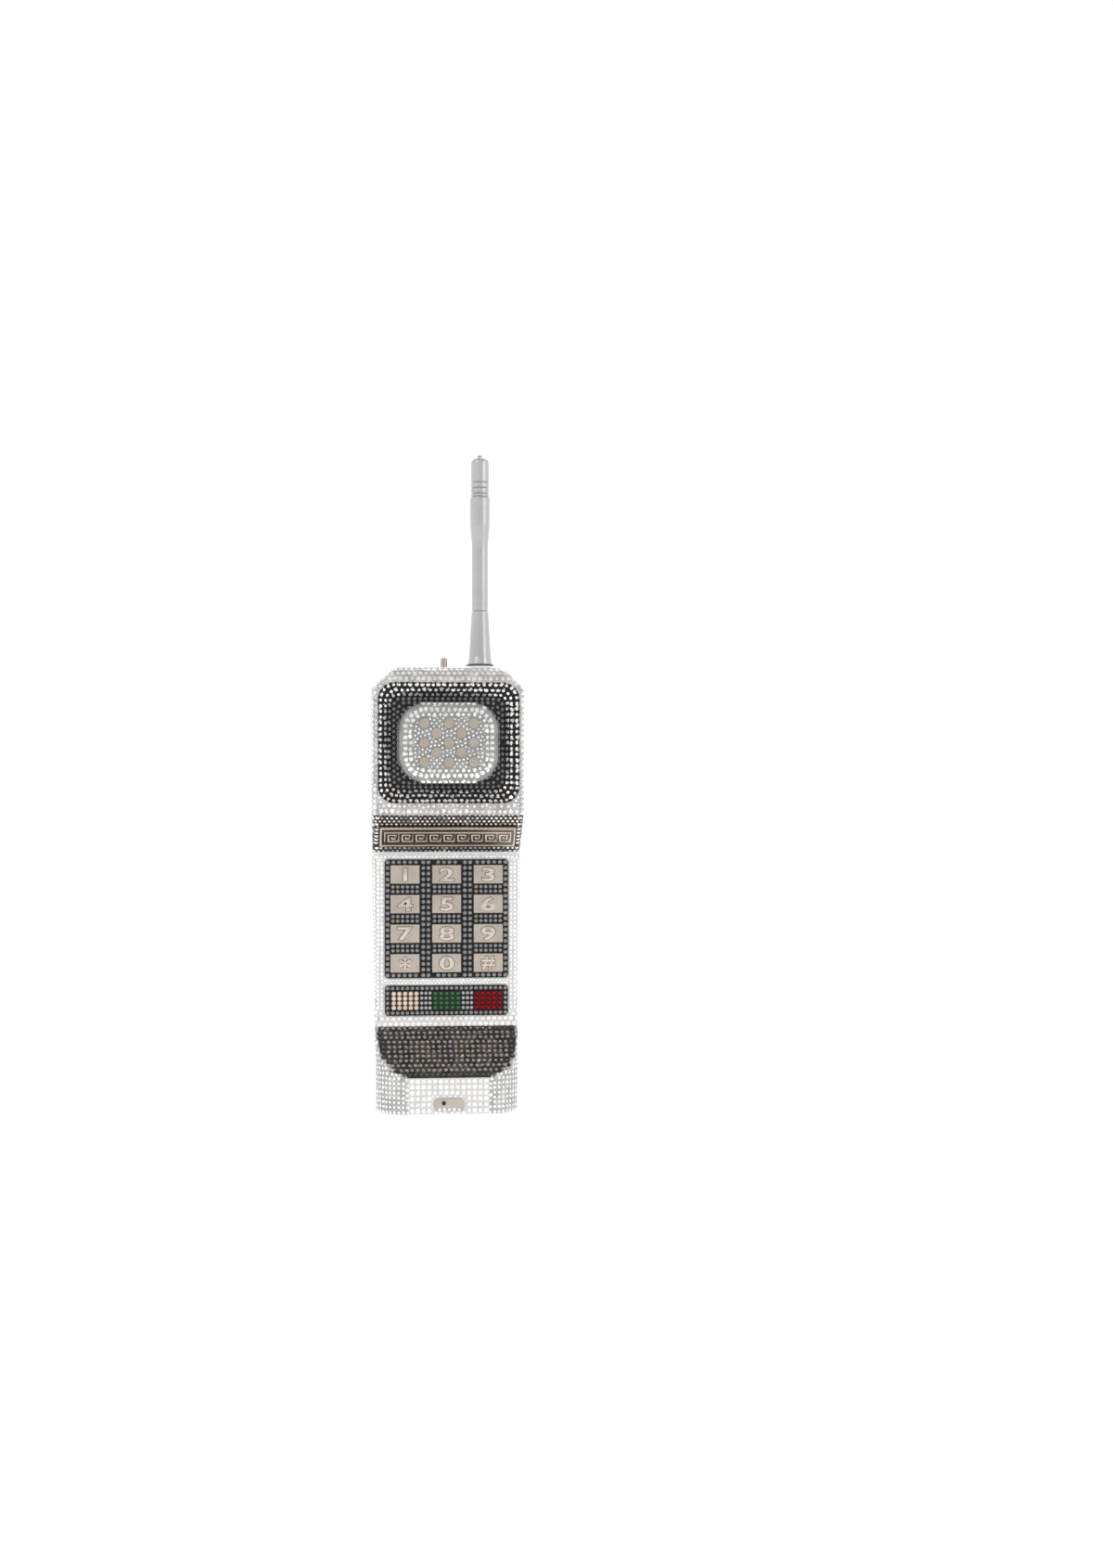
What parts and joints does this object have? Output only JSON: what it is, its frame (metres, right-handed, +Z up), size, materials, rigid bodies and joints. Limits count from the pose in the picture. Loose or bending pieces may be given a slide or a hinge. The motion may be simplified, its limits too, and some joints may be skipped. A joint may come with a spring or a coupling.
{
  "type": "novelty clutch bag",
  "caption": "Evening clutch shaped like an early mobile brick phone: hinged crystal-covered half shells, metal number plaques, a push-post clasp and a fixed antenna.",
  "frame": {"origin": "middle of the whole object's footprint, on the surface that the flat bottom stands on", "axes": "+Z up along the body and the antenna, +X to the right as seen from the front, and the keypad faces -Y"},
  "size_m": [0.0828, 0.066, 0.3672],
  "materials": {
    "pave_clear": "flat-back clear crystals set edge to edge over a silvered shell",
    "pave_smoke": "smoke and jet crystals set edge to edge over a dark shell",
    "pave_earpiece": "small clear crystals set edge to edge over a silvered pad",
    "silver_plate": "polished silver-tone plate, slightly warm",
    "black_enamel": "black enamel under dark crystals",
    "stones_ivory": "ivory crystals in close rows",
    "stones_green": "emerald crystals in close rows",
    "stones_red": "ruby crystals in close rows",
    "satin_antenna": "satin silver lacquer",
    "cream_trim": "cream base ring",
    "gasket_rubber": "matte sealing washer",
    "lining_leather": "soft silver-grey kid leather",
    "hinge_steel": "plated steel frame, hinge and latch"
  },
  "bodies": {
    "back_case": {"back_shell": "pave_clear", "back_frame": "hinge_steel", "back_lining": "lining_leather", "hinge_leaf_back": "hinge_steel", "hinge_pin": "hinge_steel", "antenna_boss": "cream_trim", "antenna_gasket": "gasket_rubber", "antenna_sleeve": "satin_antenna", "antenna_mast": "satin_antenna", "antenna_cap": "satin_antenna", "antenna_tip": "silver_plate", "antenna_nut": "hinge_steel", "clasp_guide": "hinge_steel", "clasp_spring": "hinge_steel"},
    "lid": {"front_shell": "pave_clear", "front_frame": "hinge_steel", "front_lining": "lining_leather", "hinge_leaf_front": "hinge_steel", "earpiece_dish": "pave_smoke", "earpiece_pad": "pave_earpiece", "earpiece_disc_01": "silver_plate", "earpiece_disc_02": "silver_plate", "earpiece_disc_03": "silver_plate", "earpiece_disc_04": "silver_plate", "earpiece_disc_05": "silver_plate", "earpiece_disc_06": "silver_plate", "earpiece_disc_07": "silver_plate", "earpiece_disc_08": "silver_plate", "earpiece_disc_09": "silver_plate", "earpiece_disc_10": "silver_plate", "earpiece_disc_11": "silver_plate", "earpiece_disc_12": "silver_plate", "earpiece_disc_13": "silver_plate", "nameplate": "silver_plate", "keypad_panel": "black_enamel", "key_1": "silver_plate", "key_2": "silver_plate", "key_3": "silver_plate", "key_4": "silver_plate", "key_5": "silver_plate", "key_6": "silver_plate", "key_7": "silver_plate", "key_8": "silver_plate", "key_9": "silver_plate", "key_star": "silver_plate", "key_0": "silver_plate", "key_hash": "silver_plate", "function_panel": "black_enamel", "function_key_ivory": "stones_ivory", "function_key_green": "stones_green", "function_key_red": "stones_red", "chin_plate": "silver_plate", "striker": "hinge_steel"},
    "clasp": {"clasp_post": "silver_plate", "latch_plate": "hinge_steel"}
  },
  "joints": [
    {"name": "lid_hinge", "type": "hinge", "parent": "back_case", "child": "lid", "pos_m": [0, 0.008, 0.0024], "axis": [1, 0, 0], "range_deg": [0, 70]},
    {"name": "clasp_slide", "type": "slide", "parent": "back_case", "child": "clasp", "axis": [0, 0, 1], "range_m": [-0.0025, 0], "stiffness_N_per_m": 600, "springref_m": 0.002, "deforming": ["clasp_spring"]}
  ]
}
